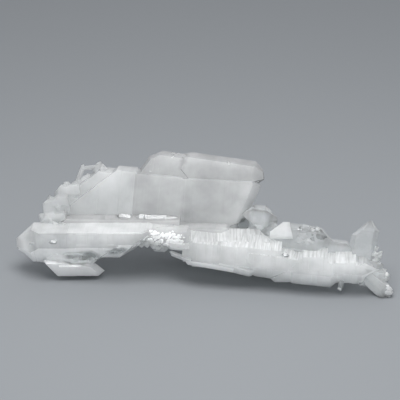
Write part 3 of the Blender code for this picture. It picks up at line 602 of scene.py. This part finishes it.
def drop_pockets(solid):
    """Deletes every closed shell but the largest, which is the cluster's outside.

    A shell is found by walking from one corner along edges until no corner is left to reach.
    """
    body = bmesh.new()
    body.from_mesh(solid.data)
    bmesh.ops.dissolve_degenerate(body, dist=FINEST_EDGE * MM, edges=body.edges[:])
    unseen = set(body.verts)
    shells = []
    while unseen:
        shell = set()
        reached = [unseen.pop()]
        while reached:
            vertex = reached.pop()
            shell.add(vertex)
            for edge in vertex.link_edges:
                neighbour = edge.other_vert(vertex)
                if neighbour in unseen:
                    unseen.remove(neighbour)
                    reached.append(neighbour)
        shells.append(shell)
    outside = max(shells, key=len)
    pockets = [vertex for vertex in body.verts if vertex not in outside]
    bmesh.ops.delete(body, geom=pockets, context="VERTS")
    body.to_mesh(solid.data)
    body.free()


cluster = grow_together("quartz_cluster")
drop_pockets(cluster)


def linear(hexcode):
    """Linear colour from an sRGB hex value."""
    parts = np.array([int(hexcode[at:at + 2], 16) for at in (1, 3, 5)]) / 255.0
    parts = np.where(parts <= 0.04045, parts / 12.92, ((parts + 0.055) / 1.055) ** 2.4)
    return (*parts, 1.0)


def node(tree, kind, inputs=None, **settings):
    """Adds a node with its settings, and for each socket in inputs its value or its link."""
    made = tree.nodes.new(kind)
    for name, value in settings.items():
        setattr(made, name, value)
    for socket, value in (inputs or {}).items():
        if isinstance(value, bpy.types.NodeSocket):
            tree.links.new(value, made.inputs[socket])
        else:
            made.inputs[socket].default_value = value
    return made


# How many of each pattern there are to a metre, from their real sizes
GROWTH_LINES = 2.6 / MM              # the lines are about 0.4 mm apart
LINE_BREAKS = 0.16 / MM              # and shift or fade about every 6 mm
VEILS = 0.11 / MM                    # milky veils are about 9 mm across
FRAYS = 0.5 / MM                     # the patches' outlines wander about every 2 mm
WORN_SPOTS = 0.42 / MM               # duller spots are about 2.4 mm across

# How strongly they show. The real growth lines are finer: these are as deep as they need to show
LINE_DEPTH = 0.2 * MM
LINE_MILK = 0.9
VEIL_MILK = (-0.12, 0.15)
FRAY = 1.0 * MM                      # how far the patches' outlines wander
FROSTED_ROUGHNESS = 0.5
WORN_ROUGHNESS = 0.05
NOISE_RANGE = (0.35, 0.70)           # most of a noise lies between these

# Rock crystal itself, its milk, and its colours: clean, grey and painted shade for the parts in
# the shade of the plate, and deep inside
QUARTZ_IOR = 1.544
MILK_DEPTH = 12.0 * MM               # how far light spreads in the milk
CLEAN = "#F4F8F8"
SHADED = "#A7A6A6"
IN_DEPTH = "#DDE6E4"
DEPTH_DENSITY = 12.0                 # takes a few per cent of the light in a centimetre

# Patches that are clearer or milkier than their surroundings: middle, reach in millimetres, change
PATCHES = (
    # Clearer down the middle of the blade, milkier at its right edge
    ((-3.83, 11.35, -2.20), 1.1, -0.05),
    ((-3.71, 9.19, -2.20), 1.5, -0.06),
    ((-3.38, 7.05, -2.20), 2.0, -0.08),
    ((-3.04, 5.11, -2.00), 2.6, -0.10),
    ((10.36, 11.63, -3.00), 3.5, 0.15),
    ((8.42, 7.22, -3.00), 3.0, 0.20),
    # Clearer where the two crystals of the crown meet
    ((-4.30, 18.77, -3.00), 1.1, -0.15),
    ((-4.67, 17.45, -3.00), 1.1, -0.15),
    ((-5.03, 16.13, -3.00), 1.0, -0.15),
    # Glass clear, and so dark, in the nook right of the blade
    ((8.69, 4.72, -4.20), 1.8, -0.9),
    # Clear windows in the underside of the left prism
    ((-27.2, -4.2, 1.8), 2.2, -0.7),
    ((-25.0, -4.1, 1.9), 2.2, -0.7),
    ((-22.8, -3.9, 2.0), 2.2, -0.7),
    ((-18.2, -2.5, 2.6), 2.0, -0.7),
    ((-16.2, -2.2, 2.8), 1.6, -0.6),
    # Milkier at the left prism's point
    ((-39.0, -2.5, 1.0), 5.0, 0.25),
    ((-36.0, -4.5, 1.0), 4.0, 0.2),
)
PATCH_CORE = 0.4                     # the share of its reach over which a patch has its full change


def clear_quartz():
    """Colourless rock crystal: glass clear at its freshest, clouded inside by tiny fluid pockets.

    The faces are natural growth faces, glossy but crossed by fine lines across the long axis.
    How milky, frosted, lined and grey each face is comes from its attributes, and noise veils
    and the patches are added to its milk. The grey is partly the crystal's own tone and partly
    painted shade, a darker colour mixed in for the faces that lie in shade. The clear share of a
    face is what its milk leaves of one, and the milky share scatters light in the depth.
    """
    material = bpy.data.materials.new("rock_crystal")
    material.use_nodes = True
    tree = material.node_tree
    shader = tree.nodes["Principled BSDF"]
    output = tree.nodes["Material Output"]
    place = node(tree, "ShaderNodeTexCoord").outputs["Object"]
    axis = node(tree, "ShaderNodeAttribute", attribute_name="long_axis").outputs["Vector"]
    milk = node(tree, "ShaderNodeAttribute", attribute_name="milk").outputs["Fac"]
    frost = node(tree, "ShaderNodeAttribute", attribute_name="frost").outputs["Fac"]
    lines = node(tree, "ShaderNodeAttribute", attribute_name="lines").outputs["Fac"]
    # Greyness: partly the crystal's grey tone, partly painted shade for faces in the shade
    grey_and_shade = node(tree, "ShaderNodeAttribute", attribute_name="grey_and_shade").outputs["Fac"]

    # Growth lines: noise that changes fast along the crystal and slowly across it
    along = node(tree, "ShaderNodeVectorMath", {0: place, 1: axis}, operation="DOT_PRODUCT")
    lengthwise = node(tree, "ShaderNodeVectorMath", {0: axis, "Scale": along.outputs["Value"]},
                      operation="SCALE")
    stretched = node(tree, "ShaderNodeVectorMath", {0: lengthwise.outputs[0], "Scale": GROWTH_LINES},
                     operation="SCALE")
    slow = node(tree, "ShaderNodeVectorMath", {0: place, "Scale": LINE_BREAKS}, operation="SCALE")
    lined = node(tree, "ShaderNodeVectorMath", {0: stretched.outputs[0], 1: slow.outputs[0]},
                 operation="ADD")
    grain = node(tree, "ShaderNodeTexNoise",
                 {"Vector": lined.outputs[0], "Scale": 1.0, "Detail": 3.0, "Roughness": 0.6})
    either_way = node(tree, "ShaderNodeMath", {0: grain.outputs["Fac"], 1: 0.5}, operation="SUBTRACT")
    streak = node(tree, "ShaderNodeMath", {0: either_way.outputs[0], 1: lines}, operation="MULTIPLY")
    bump = node(tree, "ShaderNodeBump",
                {"Height": streak.outputs[0], "Strength": 1.0, "Distance": LINE_DEPTH})

    # Milk: the face's own, veils and lines in it, and the patches with frayed outlines
    cloud = node(tree, "ShaderNodeTexNoise",
                 {"Vector": place, "Scale": VEILS, "Detail": 4.0, "Roughness": 0.55})
    veil = node(tree, "ShaderNodeMapRange",
                {"Value": cloud.outputs["Fac"], "From Min": NOISE_RANGE[0], "From Max": NOISE_RANGE[1],
                 "To Min": VEIL_MILK[0], "To Max": VEIL_MILK[1]})
    veined = node(tree, "ShaderNodeMath", {0: streak.outputs[0], 1: LINE_MILK, 2: veil.outputs[0]},
                  operation="MULTIPLY_ADD")
    cloudy = node(tree, "ShaderNodeMath", {0: milk, 1: veined.outputs[0]}, operation="ADD")
    stray = node(tree, "ShaderNodeTexNoise", {"Vector": place, "Scale": FRAYS, "Detail": 2.0})
    strayed = node(tree, "ShaderNodeVectorMath",
                   {0: stray.outputs["Color"], 1: (FRAY, FRAY, FRAY), 2: place},
                   operation="MULTIPLY_ADD")
    for middle, reach, change in PATCHES:
        centre = Vector(on_table(middle) + FRAY / 2.0)
        away = node(tree, "ShaderNodeVectorMath", {0: strayed.outputs[0], 1: centre},
                    operation="DISTANCE")
        share = node(tree, "ShaderNodeMapRange",
                     {"Value": away.outputs["Value"], "From Min": PATCH_CORE * reach * MM,
                      "From Max": reach * MM, "To Min": change, "To Max": 0.0})
        cloudy = node(tree, "ShaderNodeMath", {0: cloudy.outputs[0], 1: share.outputs[0]},
                      operation="ADD")
    clarity = node(tree, "ShaderNodeMath", {0: 1.0, 1: cloudy.outputs[0]},
                   operation="SUBTRACT", use_clamp=True)

    # Gloss: the face's own frost, and duller spots where it is worn
    worn = node(tree, "ShaderNodeTexNoise", {"Vector": place, "Scale": WORN_SPOTS, "Detail": 3.0})
    dull = node(tree, "ShaderNodeMapRange",
                {"Value": worn.outputs["Fac"], "From Min": NOISE_RANGE[0], "From Max": NOISE_RANGE[1],
                 "To Min": 0.0, "To Max": WORN_ROUGHNESS})
    rough = node(tree, "ShaderNodeMath", {0: frost, 1: FROSTED_ROUGHNESS, 2: dull.outputs[0]},
                 operation="MULTIPLY_ADD")

    # Colour by greyness, partly the crystal's grey tone and partly painted shade: sockets 0, 6 and
    # 7 of the mix are its factor and its two colours
    tone = node(tree, "ShaderNodeMix", {0: grey_and_shade, 6: linear(CLEAN), 7: linear(SHADED)},
                data_type="RGBA")
    depth = node(tree, "ShaderNodeVolumeAbsorption",
                 {"Color": linear(IN_DEPTH), "Density": DEPTH_DENSITY})
    shader.inputs["IOR"].default_value = QUARTZ_IOR
    shader.inputs["Subsurface Weight"].default_value = 1.0
    shader.inputs["Subsurface Radius"].default_value = (1.0, 1.0, 1.0)
    shader.inputs["Subsurface Scale"].default_value = MILK_DEPTH
    tree.links.new(tone.outputs[2], shader.inputs["Base Color"])
    tree.links.new(clarity.outputs[0], shader.inputs["Transmission Weight"])
    tree.links.new(rough.outputs[0], shader.inputs["Roughness"])
    tree.links.new(bump.outputs[0], shader.inputs["Normal"])
    tree.links.new(depth.outputs[0], output.inputs["Volume"])
    return material


cluster.data.materials.clear()
cluster.data.materials.append(clear_quartz())
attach(cluster, "root")
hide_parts("faden_quartz_cluster")

# Table
# A plain sheet of matt grey paper, which runs on far behind the specimen. It only carries the
# specimen, and is no part of it.
PAPER_REACH = 2.0
PAPER_CORNERS = [
    (-PAPER_REACH, -PAPER_REACH, 0.0),
    (PAPER_REACH, -PAPER_REACH, 0.0),
    (PAPER_REACH, PAPER_REACH, 0.0),
    (-PAPER_REACH, PAPER_REACH, 0.0),
]

sheet = bpy.data.meshes.new("table")
sheet.from_pydata(PAPER_CORNERS, [], [(0, 1, 2, 3)])
table = bpy.data.objects.new("table", sheet)
bpy.context.scene.collection.objects.link(table)
paper = bpy.data.materials.new("matt_paper")
paper.use_nodes = True
surface = paper.node_tree.nodes["Principled BSDF"].inputs
surface["Base Color"].default_value = linear("#838689")
surface["Roughness"].default_value = 0.9
surface["Specular IOR Level"].default_value = 0.2
sheet.materials.append(paper)

# Studio
# A square soft box hangs over the specimen, a little in front of it, in a pale, evenly lit
# room. The camera looks down at it by 26 degrees from the front.
LAMP_PLACE = (0.0, -0.05, 0.215)
LAMP_TARGET = (0.0, -0.02, 0.0)
LAMP_SIDE = 0.135
LAMP_POWER = 0.455                   # in watts, so few because the lamp is so near
ROOM_LIGHT = 0.83
CAMERA_ELEVATION = math.radians(26.0)
CAMERA_DISTANCE = 0.3556
FOCAL_LENGTH = 150.0                 # in millimetres, as is the sensor's width
SENSOR_WIDTH = 36.0
PICTURE_RISE = 0.00917               # the picture's middle is this far above the row's origin


def soft_box(name, place, target, side, power):
    """A square lamp at place, turned to shine on target."""
    lamp = bpy.data.lights.new(name, "AREA")
    lamp.shape = "SQUARE"
    lamp.size = side
    lamp.energy = power
    box = bpy.data.objects.new(name, lamp)
    box.location = place
    box.rotation_euler = (Vector(target) - Vector(place)).to_track_quat("-Z", "Y").to_euler()
    bpy.context.scene.collection.objects.link(box)


soft_box("overhead", LAMP_PLACE, LAMP_TARGET, LAMP_SIDE, LAMP_POWER)
room = bpy.data.worlds.new("room")
room.use_nodes = True
room.node_tree.nodes["Background"].inputs["Color"].default_value = linear("#F2F4F7")
room.node_tree.nodes["Background"].inputs["Strength"].default_value = ROOM_LIGHT
bpy.context.scene.world = room

rise = np.array((0.0, math.sin(CAMERA_ELEVATION), math.cos(CAMERA_ELEVATION)))
look = np.array((0.0, math.cos(CAMERA_ELEVATION), -math.sin(CAMERA_ELEVATION)))
lens = bpy.data.cameras.new("camera")
lens.lens = FOCAL_LENGTH
lens.sensor_width = SENSOR_WIDTH
lens.clip_start = 0.01
camera = bpy.data.objects.new("camera", lens)
camera.location = ROW_ORIGIN * MM + PICTURE_RISE * rise - CAMERA_DISTANCE * look
camera.rotation_euler = (math.radians(90.0) - CAMERA_ELEVATION, 0.0, 0.0)
bpy.context.scene.collection.objects.link(camera)
bpy.context.scene.camera = camera
bpy.context.scene.view_settings.view_transform = "Standard"
